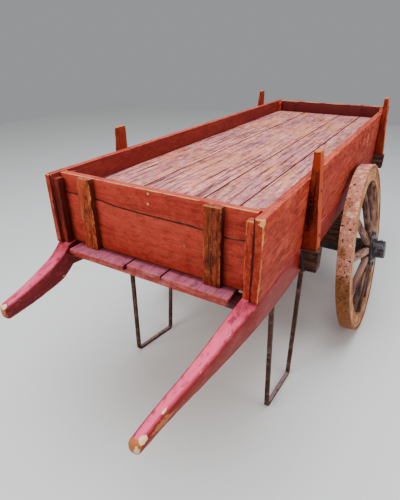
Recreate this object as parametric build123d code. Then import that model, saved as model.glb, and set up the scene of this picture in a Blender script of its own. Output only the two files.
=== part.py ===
import os
from math import cos, radians, sin, tan

from build123d import *

# Two-wheeled hay cart, in millimetres. X across, Y from the shafts to the tail, Z up from the ground.
# Places along Y are counted from the front ends of the side boards until the pieces are written.

# Wheels and axle; the arms bend up from the bar, so the wheels' tops lean inward
wheel_radius = 448
wheel_lean = 8
tyre_width = 63
tyre_thickness = 12
felloe_width = 58
felloe_depth = 71
felloe_count = 6
felloe_joint = 0.6
spoke_count = 12
spoke_bevel = 6
wheel_centre_x = 513
axle_y = 1236
axle_bar = 50
bar_end_to_wheel = 103
arm_radius = 24
arm_root = 10
arm_past_nut = 3
bearing_clearance = 0.1
collar_radius = 38
collar_length = 24
nut_radius = 30
nut_width = 16
nut_gap = 6

# Timbers that carry the bed
bed_z = 796
axle_bed_width = 88
axle_bed_half = 392
axle_bolster_height = 105
sill_outer = 403
sill_width = 57
sill_depth = 106
sill_edge = 2
bolster_half = 464
bolster_width = 56
bolster_height = 81
bolster_front_y = 418
bolster_rear_y = 1940

# Bed
bed_width = 802
bed_length = 2285
board_height = 258
board_thickness = 28
floor_thickness = 18
floor_joint = 2
floor_nosing = 6
end_rail_thickness = 16
end_rail_width = 60
end_rail_overhang = 8
end_rail_gap = 8
deck_below_rim = 74
deck_thickness = 24
deck_joint = 2
deck_side_gap = 2
deck_end_gap = 4
bearer_width = 45
bearer_height = 50
ledger_height = 55
ledger_thickness = 30

# End boards that lift out
end_board_setback = 42
end_board_thickness = 26
end_board_seam_z = 168
end_board_clearance = 5
end_board_rest = 0.3
end_cleat_x = 243
end_cleat_width = 58
end_cleat_thickness = 24
end_strip_width = 26
end_strip_thickness = 6
batten_width = 24
batten_depth = 28
batten_outer_drop = 14
batten_inner_drop = 8
batten_foot_gap = 0.3

# Posts against the side boards
post_width = 46
post_top_thickness = 22
post_foot_thickness = 56
post_above_rim = 90

# Legs: places across and along of the front top, front foot, rear foot and rear top
leg_right_bends = [(336, 318), (351, 350), (366, 588), (356, 625)]
leg_left_bends = [(336, 320), (375, 357), (332, 588), (336, 647)]
leg_bar_width = 17
leg_bar_thickness = 14
leg_bend = 18
leg_plate = 56
leg_plate_thickness = 6
leg_plate_inward = 16
leg_plate_outer_inset = 12

# Straps round the axle
strap_x = 250
strap_width = 40
strap_thickness = 6
strap_lap = 14

# Shafts: place along Y, outer face inward of the sill's, width, drop of the top, depth, edge bevel
shaft_stations = [
    (12, 0, 57, 0, 88, 3),
    (-50, 17, 55, 29, 84, 4),
    (-125, 29, 51, 50, 73, 5),
    (-205, 41, 46, 67, 62, 6),
    (-285, 51, 42, 79, 51, 7),
    (-365, 61, 38, 89, 43, 8),
    (-448, 68, 34, 98, 38, 8),
]
shaft_tip = (-460, 72, 26, 102, 30, 7)
taper_stations = [(275, 0), (110, 8)]
left_shaft_reach = 305

# Heights that follow from the sizes above
lean = radians(wheel_lean)
wheel_centre_z = wheel_radius * cos(lean) + tyre_width / 2 * sin(lean)
bar_z = wheel_centre_z - bar_end_to_wheel * tan(lean)
bar_top = bar_z + axle_bar / 2
sill_bottom = bed_z - sill_depth
axle_bed_top = sill_bottom - axle_bolster_height
rim_z = bed_z + board_height
deck_top = rim_z - deck_below_rim
deck_bottom = deck_top - deck_thickness
floor_bottom = bed_z - floor_thickness

# Faces that follow from the sizes above
axle_bar_half = wheel_centre_x - bar_end_to_wheel
board_outer = bed_width / 2
board_inner = board_outer - board_thickness
sill_inner = sill_outer - sill_width
shaft_reach = -shaft_tip[0]
middle_y = (bed_length - shaft_reach) / 2
rim_radius = wheel_radius - tyre_thickness
felloe_inner = rim_radius - felloe_depth


def block(x0, x1, y0, y1, z0, z1):
    corner = (min(x0, x1), min(y0, y1), min(z0, z1))
    size = Box(abs(x1 - x0), abs(y1 - y0), abs(z1 - z0), align=(Align.MIN, Align.MIN, Align.MIN))
    return Pos(*corner) * size


def mirrored(shape):
    return mirror(shape, about=Plane.YZ)


def octagon(y, inset, width, drop, depth, edge):
    x1 = sill_outer - inset
    x0 = x1 - width
    z1 = bed_z - drop
    z0 = z1 - depth
    points = [
        (x0 + edge, y, z0),
        (x1 - edge, y, z0),
        (x1, y, z0 + edge),
        (x1, y, z1 - edge),
        (x1 - edge, y, z1),
        (x0 + edge, y, z1),
        (x0, y, z1 - edge),
        (x0, y, z0 + edge),
    ]
    return make_face(Polyline(*points, close=True))


def sill_and_shaft(reach):
    rear = octagon(bed_length, 0, sill_width, 0, sill_depth, sill_edge)
    straight = octagon(taper_stations[0][0], 0, sill_width, 0, sill_depth, sill_edge)
    under = [straight]
    for y, rise in taper_stations[1:]:
        under.append(octagon(y, 0, sill_width, 0, sill_depth - rise, sill_edge))
    fore = [octagon(*row) for row in shaft_stations]
    under.append(fore[0])
    shape = loft([rear, straight], ruled=True) + loft(under, ruled=True)
    shape += loft(fore)
    shape += loft([fore[-1], octagon(*shaft_tip)], ruled=True)
    if reach < shaft_reach:
        shape -= block(0, sill_outer, -reach, -shaft_reach, 0, bed_z)
    for y in (bolster_front_y, bolster_rear_y):
        shape -= bolster_block(y)
    return shape


def bolster_block(y):
    half = bolster_width / 2
    return block(-bolster_half, bolster_half, y - half, y + half, bed_z - bolster_height, bed_z)


def bolster(y):
    half = bolster_width / 2
    recess = block(-sill_inner, sill_inner, y - half, y + half, floor_bottom, bed_z)
    return bolster_block(y) - recess


def post(y):
    outline = [
        (board_outer, bed_z),
        (board_outer, rim_z + post_above_rim),
        (board_outer + post_top_thickness, rim_z + post_above_rim),
        (board_outer + post_foot_thickness, bed_z),
    ]
    face = make_face(Polyline(*[(x, y + post_width / 2, z) for x, z in outline], close=True))
    return extrude(face, amount=post_width, dir=(0, -1, 0))


def leg(bends):
    top = sill_bottom - leg_plate_thickness
    foot = leg_bar_thickness / 2
    heights = [top, foot, foot, top]
    points = [(x, y, z) for (x, y), z in zip(bends, heights)]
    path = FilletPolyline(*points, radius=leg_bend)
    start = Plane(origin=path @ 0, x_dir=(1, 0, 0), z_dir=path % 0)
    bar = sweep(start * Rectangle(leg_bar_width, leg_bar_thickness), path=path)
    return bar & block(0, sill_outer, 0, bed_length, 0, top)


def leg_plate_block(x, y):
    half = leg_plate / 2
    return block(x - leg_plate_inward, sill_outer - leg_plate_outer_inset, y - half, y + half,
                 sill_bottom - leg_plate_thickness, sill_bottom)


def spun(profile):
    face = make_face(Polyline(*[(x, r, 0) for x, r in profile], close=True))
    wheel_axis = Axis((0, 0, 0), (1, 0, 0))
    return revolve(face, axis=wheel_axis)


def across(place):
    return Plane(origin=(place, 0, 0), x_dir=(0, 1, 0), z_dir=(1, 0, 0))


def ring(outer, inner, width):
    half = width / 2
    return spun([(-half, inner), (half, inner), (half, outer), (-half, outer)])


# Hub, measured outward along the arm from the middle plane of the rim
hub_inner_end = -72
flange_inner = 16
drum_inner = 24
drum_outer = 56
flange_outer = 64
hub_outer_end = 78
cap_end = 120
barrel_radius = 52
flange_radius = 94
drum_flat = 70
drum_wall = 23
boss_radius = 54
cap_radius = 46
cap_cavity_flat = 35
cap_cavity_sides = 8
cap_wall = 10


def hub():
    bore = arm_radius + bearing_clearance
    turned = spun([
        (hub_inner_end, bore), (hub_inner_end, barrel_radius), (flange_inner, barrel_radius),
        (flange_inner, flange_radius), (drum_inner, flange_radius), (drum_inner, barrel_radius),
        (drum_outer, barrel_radius), (drum_outer, flange_radius), (flange_outer, flange_radius),
        (flange_outer, boss_radius), (hub_outer_end, boss_radius), (hub_outer_end, bore),
    ])
    flats = across(drum_inner) * RegularPolygon(drum_flat, spoke_count, major_radius=False)
    core = across(drum_inner) * Circle(arm_radius + drum_wall)
    return turned + extrude(flats - core, amount=drum_outer - drum_inner)


def hub_cap():
    outside = spun([(hub_outer_end, 0), (hub_outer_end, cap_radius), (cap_end, cap_radius), (cap_end, 0)])
    cavity = across(hub_outer_end) * RegularPolygon(cap_cavity_flat, cap_cavity_sides, major_radius=False)
    return outside - extrude(cavity, amount=cap_end - cap_wall - hub_outer_end)


# One spoke: distance from the arm, place along the arm, width along the rim, thickness along the arm
spoke_stations = [(drum_flat, 41, 35, 29.6), (250, 26, 36, 27)]
spoke_end_place = 12
spoke_end_width = 40
spoke_end_thickness = 28


def spoke_section(reach, place, width, thickness):
    level = Plane(origin=(place, 0, reach), x_dir=(1, 0, 0), z_dir=(0, 0, 1))
    outline = Rectangle(thickness, width)
    return level * chamfer(outline.vertices(), length=spoke_bevel)


def spokes():
    end_reach = (felloe_inner ** 2 - (spoke_end_width / 2) ** 2) ** 0.5
    sections = [spoke_section(*row) for row in spoke_stations]
    sections.append(spoke_section(end_reach, spoke_end_place, spoke_end_width, spoke_end_thickness))
    one = loft(sections, ruled=True)
    return [Rot(360 / spoke_count * (i + 0.5), 0, 0) * one for i in range(spoke_count)]


def felloes():
    whole = ring(rim_radius, felloe_inner, felloe_width)
    sweep_angle = radians(360 / felloe_count)
    far = wheel_radius * 1.5
    pieces = []
    for i in range(felloe_count):
        sector = make_face(Polyline(
            (0, 0, 0),
            (0, far, 0),
            (0, far * cos(sweep_angle), far * sin(sweep_angle)),
            close=True,
        ))
        wedge = Pos(-felloe_width, 0, 0) * extrude(sector, amount=felloe_width * 2, dir=(1, 0, 0))
        open_joint = Pos(0, felloe_joint / 2, felloe_joint / 2) * wedge
        pieces.append(Rot(360 / felloe_count * i, 0, 0) * (whole & open_joint))
    return pieces


def on_arm(shape):
    return Pos(wheel_centre_x, axle_y, wheel_centre_z) * Rot(0, -wheel_lean, 0) * shape


def arm_piece(radius, start, end):
    turn = Rot(0, 90, 0)
    return on_arm(Pos((start + end) / 2, 0, 0) * turn * Cylinder(radius, end - start))


# Where the bar ends and where the arm ends, measured along the arm
bar_end = -bar_end_to_wheel / cos(lean)
nut_start = hub_outer_end + nut_gap
arm_end = nut_start + nut_width + arm_past_nut


def axle_bar_shape():
    half = axle_bar / 2
    shape = block(-axle_bar_half, axle_bar_half, axle_y - half, axle_y + half, bar_z - half, bar_z + half)
    arm = arm_piece(collar_radius, bar_end, bar_end + collar_length)
    arm += arm_piece(arm_radius, bar_end - arm_root, arm_end)
    return shape + arm + mirrored(arm)


def axle_nut():
    outline = across(nut_start) * RegularPolygon(nut_radius, 6)
    shape = on_arm(extrude(outline, amount=nut_width))
    return shape - arm_piece(arm_radius, nut_start - 1, nut_start + nut_width + 1)


def strap(x):
    half = axle_bed_width / 2
    x0 = x - strap_width / 2
    x1 = x + strap_width / 2
    bottom = bar_z - axle_bar / 2
    top = axle_bed_top + strap_lap
    outer = block(x0, x1, -half - strap_thickness, half + strap_thickness, bottom - strap_thickness, top)
    inner = block(x0, x1, -half, half, bottom, top)
    return Pos(0, axle_y, 0) * (outer - inner)


def end_board(front):
    if front:
        outer_y = end_board_setback
        step = 1
    else:
        outer_y = bed_length - end_board_setback
        step = -1
    half = board_inner - end_board_clearance
    z0 = bed_z + end_board_rest
    seam = bed_z + end_board_seam_z
    y1 = outer_y + step * end_board_thickness
    lower = block(-half, half, outer_y, y1, z0, seam)
    upper = block(-half, half, outer_y, y1, seam, rim_z)
    cleats = []
    for x in (-end_cleat_x, end_cleat_x):
        w = end_cleat_width / 2
        cleats.append(block(x - w, x + w, outer_y - step * end_cleat_thickness, outer_y, z0, rim_z))
        w = end_strip_width / 2
        cleats.append(block(x - w, x + w, y1, y1 + step * end_strip_thickness,
                            deck_top + end_board_clearance, rim_z - batten_inner_drop))
    return lower, upper, cleats


def battens(front):
    if front:
        outer_y = end_board_setback
        step = 1
    else:
        outer_y = bed_length - end_board_setback
        step = -1
    pieces = []
    near = outer_y - step * end_board_clearance
    far = outer_y + step * (end_board_thickness + end_board_clearance)
    for side in (-1, 1):
        x0 = side * board_inner
        x1 = side * (board_inner - batten_width)
        pieces.append(block(x0, x1, near, near - step * batten_depth, bed_z, rim_z - batten_outer_drop))
        pieces.append(block(x0, x1, far, far + step * batten_depth,
                            deck_top + batten_foot_gap, rim_z - batten_inner_drop))
    return pieces


nodes = {}

sill_right = sill_and_shaft(shaft_reach)
nodes["sill_shaft_right"] = sill_right
nodes["sill_shaft_left"] = mirrored(sill_and_shaft(left_shaft_reach))
nodes["bolster_front"] = bolster(bolster_front_y)
nodes["bolster_rear"] = bolster(bolster_rear_y)

half_bed = axle_bed_width / 2
crown = block(-sill_inner, sill_inner, axle_y - half_bed, axle_y + half_bed, sill_bottom, floor_bottom)
beam = block(-axle_bed_half, axle_bed_half, axle_y - half_bed, axle_y + half_bed, axle_bed_top, sill_bottom)
nodes["axle_bolster"] = beam + crown
nodes["axle_bed"] = block(-axle_bed_half, axle_bed_half, axle_y - half_bed, axle_y + half_bed,
                          bar_top, axle_bed_top)
nodes["axle_bar"] = axle_bar_shape()
nut = axle_nut()
nodes["axle_nuts"] = Compound(children=[nut, mirrored(nut)])
nodes["axle_straps"] = Compound(children=[strap(x) for x in (-strap_x, strap_x)])

# Floor planks between the sills: left edge, right edge, how far the front sticks out
floor_planks = [(-318, -66, 21), (-66, 77, 9), (77, 317, 13)]
pieces = []
for left, right, overhang in floor_planks:
    plank = block(left + floor_joint / 2, right - floor_joint / 2, -overhang, bed_length,
                  floor_bottom, bed_z)
    front_edges = plank.edges().filter_by(Axis.X).sort_by(Axis.Y)[:2]
    pieces.append(fillet(front_edges.sort_by(Axis.Z)[-1], floor_nosing))
nodes["floor_planks"] = Compound(children=pieces)

# Rails across under the planks' ends
rail_half = sill_inner - end_rail_gap
rail_bottom = floor_bottom - end_rail_thickness
nodes["end_rails"] = Compound(children=[
    block(-rail_half, rail_half, -end_rail_overhang, end_rail_width, rail_bottom, floor_bottom),
    block(-rail_half, rail_half, bed_length - end_rail_width, bed_length, rail_bottom, floor_bottom),
])

side_board = block(board_inner, board_outer, 0, bed_length, bed_z, rim_z)
nodes["side_board_right"] = side_board
nodes["side_board_left"] = mirrored(side_board)
for name, y in (("front", bolster_front_y), ("rear", bolster_rear_y)):
    nodes[f"post_{name}_right"] = post(y)
    nodes[f"post_{name}_left"] = mirrored(post(y))

# Deck planks; the seams between them are counted from the middle
deck_seams = [-164, 91, 229]
deck_start = end_board_setback + end_board_thickness + end_board_clearance + deck_end_gap
deck_edge = board_inner - deck_side_gap
lefts = [-deck_edge] + [x + deck_joint / 2 for x in deck_seams]
rights = [x - deck_joint / 2 for x in deck_seams] + [deck_edge]
for i, (left, right) in enumerate(zip(lefts, rights)):
    nodes[f"deck_plank_{i + 1}"] = block(left, right, deck_start, bed_length - deck_start,
                                         deck_bottom, deck_top)

# Bearers lie across under the deck, their ends on two ledgers along the side boards
bearer_count = 5
bearer_inset = 60
bearer_first = deck_start + bearer_inset
bearer_step = (bed_length - 2 * bearer_first) / (bearer_count - 1)
pieces = []
for i in range(bearer_count):
    y = bearer_first + bearer_step * i
    pieces.append(block(-board_inner, board_inner, y - bearer_width / 2, y + bearer_width / 2,
                        deck_bottom - bearer_height, deck_bottom))
nodes["deck_bearers"] = Compound(children=pieces)
ledger_top = deck_bottom - bearer_height
ledger = block(board_inner - ledger_thickness, board_inner, deck_start, bed_length - deck_start,
               ledger_top - ledger_height, ledger_top)
nodes["deck_ledgers"] = Compound(children=[ledger, mirrored(ledger)])

for name, front in (("front", True), ("rear", False)):
    lower, upper, cleats = end_board(front)
    nodes[f"{name}_board_lower"] = lower
    nodes[f"{name}_board_upper"] = upper
    nodes[f"{name}_board_cleats"] = Compound(children=cleats)
    nodes[f"corner_battens_{name}"] = Compound(children=battens(front))

nodes["leg_right"] = leg(leg_right_bends)
nodes["leg_left"] = mirrored(leg(leg_left_bends))
right = [leg_plate_block(*leg_right_bends[0]), leg_plate_block(*leg_right_bends[-1])]
left = [leg_plate_block(*leg_left_bends[0]), leg_plate_block(*leg_left_bends[-1])]
nodes["leg_plates"] = Compound(children=right + [mirrored(plate) for plate in left])

wheel = {
    "tyre": [ring(wheel_radius, rim_radius, tyre_width)],
    "felloes": felloes(),
    "spokes": spokes(),
    "hub": [hub()],
    "hub_cap": [hub_cap()],
}
for name, solids in wheel.items():
    right = [on_arm(solid) for solid in solids]
    nodes[f"{name}_right"] = Compound(children=right)
    nodes[f"{name}_left"] = Compound(children=[mirrored(solid) for solid in right])

os.makedirs("parts", exist_ok=True)
for name, shape in nodes.items():
    export_step(Pos(0, -middle_y, 0) * shape, f"parts/{name}.step")
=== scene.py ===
from math import cos, pi, radians, sin
from random import Random

import bpy
from mathutils import Euler, Matrix, Vector


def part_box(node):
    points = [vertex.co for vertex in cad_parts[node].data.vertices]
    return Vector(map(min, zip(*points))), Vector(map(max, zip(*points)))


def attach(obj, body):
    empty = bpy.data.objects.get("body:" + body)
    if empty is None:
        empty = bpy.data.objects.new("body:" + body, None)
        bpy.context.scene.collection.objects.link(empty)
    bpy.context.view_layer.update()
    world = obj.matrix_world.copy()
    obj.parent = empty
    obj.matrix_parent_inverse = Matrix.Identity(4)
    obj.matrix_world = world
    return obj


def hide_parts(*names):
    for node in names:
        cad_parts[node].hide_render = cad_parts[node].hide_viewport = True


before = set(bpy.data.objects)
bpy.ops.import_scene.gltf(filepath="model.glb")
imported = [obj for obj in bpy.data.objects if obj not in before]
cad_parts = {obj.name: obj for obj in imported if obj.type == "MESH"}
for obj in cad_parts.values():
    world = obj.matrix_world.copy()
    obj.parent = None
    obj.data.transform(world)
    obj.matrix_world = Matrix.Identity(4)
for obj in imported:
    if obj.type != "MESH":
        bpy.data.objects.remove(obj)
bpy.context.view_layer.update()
print("frame loaded:", len(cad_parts), "nodes")

# places of the cart that the code below works with, in metres
cart = {
    "length": 2.285,           # of the side boards
    "middleY": 0.9125,         # from the front ends of the side boards to the origin
    "bedZ": 0.796,
    "rimZ": 1.054,
    "deckZ": 0.980,
    "seamZ": 0.964,            # the joint between an end board's two planks
    "boardOuter": 0.401,
    "boardInner": 0.373,
    "sillOuter": 0.403,
    "postY": (0.418, 1.940),
    "postHalf": 0.023,         # half of a post's width along the cart
    "postRise": 0.090,         # over the rim
    "postOut": (0.056, 0.022),  # from the side board to a post's outer face, at its foot and at its top
    "axleY": 1.236,
    "wheelX": 0.513,
    "wheelRadius": 0.448,
    "tyreWidth": 0.063,
    "lean": radians(8),
}


def alongCart(y):
    # counts from the front ends of the side boards, as the drawing does
    return y - cart["middleY"]


def fromEnd(end, y):
    # counts inward from the front or the rear ends of the side boards
    return alongCart(y if end == "front" else cart["length"] - y)


cart["wheelY"] = alongCart(cart["axleY"])
cart["wheelZ"] = cart["wheelRadius"] * cos(cart["lean"]) + cart["tyreWidth"] / 2 * sin(cart["lean"])
front, rear = alongCart(0.0), alongCart(cart["length"])
bed, rim, outer, inner = cart["bedZ"], cart["rimZ"], cart["boardOuter"], cart["boardInner"]
ends = ("front", "rear")
sides = (("left", -1), ("right", 1))


# node helpers

def startMaterial(name):
    material = bpy.data.materials.new(name)
    material.use_nodes = True
    nodes = material.node_tree.nodes
    nodes.clear()
    output = nodes.new("ShaderNodeOutputMaterial")
    shader = nodes.new("ShaderNodeBsdfPrincipled")
    material.node_tree.links.new(shader.outputs["BSDF"], output.inputs["Surface"])
    return material, shader


def isSocket(value):
    return isinstance(value, bpy.types.NodeSocket)


def addNode(kind, inputs, tree=None, **settings):
    # without a tree, the node goes where the sockets that it takes are
    tree = tree or [value for value in inputs.values() if isSocket(value)][0].id_data
    node = tree.nodes.new(kind)
    for key, value in settings.items():
        setattr(node, key, value)
    for key, value in inputs.items():
        if isSocket(value):
            tree.links.new(value, node.inputs[key])
        else:
            node.inputs[key].default_value = value
    return node


def calc(operation, a, b=0.0, clamp=False):
    return addNode("ShaderNodeMath", {0: a, 1: b}, operation=operation, use_clamp=clamp).outputs[0]


def times(a, b):
    return calc("MULTIPLY", a, b)


def weigh(*pairs):
    # adds up values, each times its weight
    shares = [times(value, weight) for value, weight in pairs]
    total = shares[0]
    for share in shares[1:]:
        total = calc("ADD", total, share)
    return total


def gapTo(value, mark):
    return calc("ABSOLUTE", calc("SUBTRACT", value, mark))


def fade(value, start, end):
    # a smooth mask, 0 at the start and 1 at the end, also where the end is the lower one
    node = addNode("ShaderNodeMapRange", {"Value": value, "From Min": start, "From Max": end},
                   interpolation_type="SMOOTHSTEP", clamp=True)
    return node.outputs["Result"]


def blendColour(factor, under, over):
    tones = [value if isSocket(value) else (*value, 1.0) for value in (under, over)]
    return addNode("ShaderNodeMix", {0: factor, 6: tones[0], 7: tones[1]}, data_type="RGBA").outputs[2]


def layTone(colour, mask, strength, tone):
    # the tone over the colour, where the mask shows it
    return blendColour(times(mask, strength), colour, tone)


def noise(vector, scale, detail, roughness, distortion=0.0):
    node = addNode("ShaderNodeTexNoise", {
        "Vector": vector, "Scale": scale, "Detail": detail, "Roughness": roughness, "Distortion": distortion})
    return node.outputs["Fac"]


def objectPlace(material):
    return addNode("ShaderNodeTexCoord", {}, material.node_tree).outputs["Object"]


def stretched(vector, scale, shift=(0, 0, 0), turn=(0, 0, 0)):
    node = addNode("ShaderNodeMapping", {
        "Vector": vector, "Scale": scale, "Location": shift, "Rotation": turn})
    return node.outputs["Vector"]


def axesOf(vector):
    return addNode("ShaderNodeSeparateXYZ", {"Vector": vector}).outputs


def facingAxes(material):
    return axesOf(addNode("ShaderNodeTexCoord", {}, material.node_tree).outputs["Normal"])


def finishShader(material, shader, colour, roughness, height, depth):
    links = material.node_tree.links
    links.new(colour, shader.inputs["Base Color"])
    links.new(roughness, shader.inputs["Roughness"])
    bump = addNode("ShaderNodeBump", {"Height": height, "Distance": depth, "Strength": 1.0})
    links.new(bump.outputs["Normal"], shader.inputs["Normal"])
    return material


def dress(node, material):
    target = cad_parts[node]
    target.data.materials.clear()
    target.data.materials.append(material)


# wood

# paint and where the sun faded it, old grime, bare wood, the tone of faces that look up (partly sun-faded
# paint, partly painted light from above), rubbed places;
# grain, groove, crack, chip, scratch, smear, upward and mottle say how strongly each of these shows
woodLooks = {
    "redPaint": dict(
        paint=(0.36, 0.021, 0.009), faded=(0.50, 0.048, 0.020), dark=(0.060, 0.004, 0.003),
        bare=(0.80, 0.36, 0.12), top=(0.62, 0.115, 0.080), rub=(0.66, 0.105, 0.042), grain=0.55, groove=0.30,
        crack=0.75, chip=0.35, scratch=0.22, smear=0.80, upward=0.5, mottle=0.58, rough=0.62, gloss=0.14),
    "frontPaint": dict(
        paint=(0.39, 0.029, 0.016), faded=(0.48, 0.048, 0.026), dark=(0.060, 0.004, 0.003),
        bare=(0.85, 0.45, 0.20), top=(0.66, 0.125, 0.080), rub=(0.54, 0.078, 0.042), grain=0.24, groove=0.14,
        crack=0.70, chip=0.30, scratch=0.10, smear=0.42, upward=0.5, mottle=0.40, rough=0.60, gloss=0.16),
    "shaftPaint": dict(
        paint=(0.22, 0.005, 0.003), faded=(0.34, 0.020, 0.018), dark=(0.050, 0.003, 0.003),
        bare=(0.92, 0.62, 0.36), top=(0.52, 0.036, 0.085), rub=(0.74, 0.135, 0.175), grain=0.42, groove=0.22,
        crack=0.8, chip=0.2, scratch=0.12, smear=0.35, upward=0.95, mottle=0.55, rough=0.42, gloss=0.13),
    "ledgePaint": dict(
        paint=(0.38, 0.024, 0.010), faded=(0.50, 0.050, 0.026), dark=(0.045, 0.004, 0.006),
        bare=(0.80, 0.45, 0.44), top=(0.44, 0.110, 0.180), rub=(0.60, 0.18, 0.20), grain=0.42, groove=0.22,
        crack=0.7, chip=0.3, scratch=0.30, smear=0.5, upward=0.9, mottle=0.55, rough=0.46, gloss=0.25),
    "deckWood": dict(
        paint=(0.50, 0.130, 0.100), faded=(0.86, 0.29, 0.25), dark=(0.075, 0.011, 0.012),
        bare=(1.00, 0.74, 0.56), top=(0.42, 0.22, 0.20), rub=(1.00, 0.50, 0.42),
        brown=(0.74, 0.26, 0.145), purple=(0.54, 0.205, 0.235), grain=1.0, groove=0.80,
        crack=1.0, chip=0.45, scratch=0.95, smear=0.6, upward=0.0, mottle=0.65, rough=0.50, gloss=0.16),
    "postWood": dict(
        paint=(0.17, 0.010, 0.003), faded=(0.26, 0.022, 0.006), dark=(0.030, 0.003, 0.001),
        bare=(0.75, 0.28, 0.07), top=(0.72, 0.30, 0.15), rub=(0.30, 0.035, 0.010), grain=0.7, groove=0.6,
        crack=0.8, chip=0.3, scratch=0.35, smear=0.5, upward=0.8, mottle=0.40, rough=0.70, gloss=0.12),
    "cleatWood": dict(
        paint=(0.26, 0.019, 0.006), faded=(0.46, 0.072, 0.022), dark=(0.026, 0.004, 0.002),
        bare=(0.80, 0.29, 0.085), top=(0.50, 0.10, 0.07), rub=(0.55, 0.13, 0.035), grain=0.90, groove=0.90,
        crack=0.95, chip=0.4, scratch=0.65, smear=0.3, upward=0.7, mottle=0.85, rough=0.68, gloss=0.14),
    "darkWood": dict(
        paint=(0.036, 0.010, 0.006), faded=(0.12, 0.048, 0.030), dark=(0.008, 0.003, 0.002),
        bare=(0.34, 0.20, 0.12), top=(0.16, 0.09, 0.06), rub=(0.20, 0.10, 0.065), grain=0.7, groove=0.6,
        crack=0.7, chip=0.3, scratch=0.55, smear=0.5, upward=0.4, mottle=0.40, rough=0.80, gloss=0.15),
}

# how much finer a pattern is along the grain and across it
woodScales = {"grain": (1, 30), "mottle": (22, 50), "wide": (2, 7)}

# the place that each noise reads, its scale, detail, roughness and distortion
woodNoises = {
    "cloud": ("still", 3.4, 6.0, 0.6), "blotch": ("still", 13.0, 4.0, 0.6),
    "speck": ("still", 85.0, 5.0, 0.65), "pits": ("still", 150.0, 3.0, 0.6),
    "streak": ("grain", 1.3, 6.0, 0.62, 0.25), "fibre": ("grain", 9.0, 6.0, 0.65),
    "darkGrain": ("grain", 6.5, 8.0, 0.75), "paleGrain": ("grain", 11.0, 8.0, 0.75, 0.2),
    "groove": ("grain", 3.6, 4.0, 0.6, 0.1), "scratch": ("grain", 17.0, 5.0, 0.6),
    "crack": ("grain", 2.1, 3.0, 0.5, 0.3), "cracked": ("grain", 0.5, 2.0, 0.5),
    "smear": ("slant", 2.2, 6.0, 0.65, 0.6), "mottle": ("mottle", 1.0, 4.0, 0.7),
    "wide": ("wide", 1.6, 6.0, 0.65),
}

# mixes of these noises, each with its weight
noiseMixes = {
    "paint": (("cloud", 0.45), ("streak", 0.55)), "stain": (("streak", 0.6), ("fibre", 0.4)),
    "chip": (("speck", 0.55), ("streak", 0.45)), "edge": (("speck", 1.0), ("blotch", 1.5)),
    "spot": (("speck", 1.1), ("streak", 1.8)),
}

# marks in the order they are laid: noise, where it starts and is full, the look's strength, a factor, tone;
# a strength that a look hasn't counts as 1, and a tone that it hasn't leaves the mark out
fineMarks = [
    ("smear", 0.52, 0.62, "smear", 0.70, "rub"), ("smear", 0.47, 0.36, "smear", 0.45, "dark"),
    ("darkGrain", 0.50, 0.60, "grain", 0.60, "dark"), ("paleGrain", 0.53, 0.61, "grain", 0.55, "rub"),
    ("pits", 0.58, 0.68, "pits", 0.45, "dark"), ("speck", 0.56, 0.70, "grain", 0.50, "rub"),
]
coarseMarks = [
    ("mottle", 0.53, 0.63, "mottle", 0.80, "dark"), ("mottle", 0.47, 0.37, "mottle", 0.80, "rub"),
    ("wide", 0.50, 0.60, "wide", 0.65, "brown"), ("wide", 0.50, 0.40, "wide", 0.60, "purple"),
    ("stain", 0.52, 0.64, "grain", 1.00, "dark"), ("groove", 0.53, 0.62, "groove", 1.00, "dark"),
]

# what all woods share: where worn places start and are full, and what wear does to tone, gloss and height
woodWear = {
    "seed": (1.37, 2.11, 0.73), "slant": (radians(38), radians(-20), 0), "slantScale": (14, 2, 14),
    "faded": (0.40, 0.60), "upward": (0.35, 0.9), "upwardPatch": (0.2, 0.5), "face": (0.5, 0.9),
    "crestPatch": (0.30, 0.52), "crestGap": (0.53, 0.63), "crestDull": 0.96,
    "chip": (0.70, 0.73), "chipShift": 0.12, "scratch": (0.60, 0.68), "scratchPatch": (0.44, 0.60),
    "edge": (1.72, 1.84), "spot": (1.86, 1.93),
    "bare": (0.42, 0.60), "bareShade": (0.78, 0.62, 0.50), "bareStrength": 0.9, "crackWide": 0.007,
    "cracked": (0.50, 0.60), "seamCore": 0.35,      # the part of a seam's width that is full
    "fibreRough": 0.22, "chipRough": 0.15, "smoother": 0.08,
    "height": (0.35, 0.25, -0.8, -0.25), "bump": 0.0011,     # height from fibre, streak, split and chip
}


def layMarks(colour, look, seen, marks):
    for source, start, end, strength, factor, tone in marks:
        if tone in look:
            mask = fade(seen[source], start, end)
            colour = layTone(colour, mask, look.get(strength, 1.0) * factor, look[tone])
    return colour


def nearLine(axes, line, width):
    # 1 on a straight edge that two planes make, falling to 0 at the width
    gaps = [gapTo(axes[axis], value) for axis, value in line]
    return fade(calc("MAXIMUM", *gaps), width, 0.0)


def nearPlane(axes, axis, value, width):
    return fade(gapTo(axes[axis], value), width, width * woodWear["seamCore"])


def nearSpot(place, centre, size):
    # 1 in the middle of an oval patch, 0 from its rim outward
    moved = stretched(place, [1.0 / v for v in size], [-c / v for c, v in zip(centre, size)])
    reach = addNode("ShaderNodeVectorMath", {0: moved}, operation="LENGTH").outputs["Value"]
    return fade(reach, 1.0, 0.0)


def readNoises(place, look, grain, seed):
    shift = [seed * step for step in woodWear["seed"]]
    places = {"still": stretched(place, (1, 1, 1), shift)}
    places["slant"] = stretched(places["still"], woodWear["slantScale"], turn=woodWear["slant"])
    for key, (along, across) in woodScales.items():
        scale = [along if axis == grain else across for axis in "xyz"]
        places[key] = stretched(place, scale, shift)
    seen = {key: noise(places[where], *rest) for key, (where, *rest) in woodNoises.items()
            if key != "wide" or "brown" in look}
    for key, parts in noiseMixes.items():
        seen[key] = weigh(*[(seen[part], weight) for part, weight in parts])
    return seen


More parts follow.
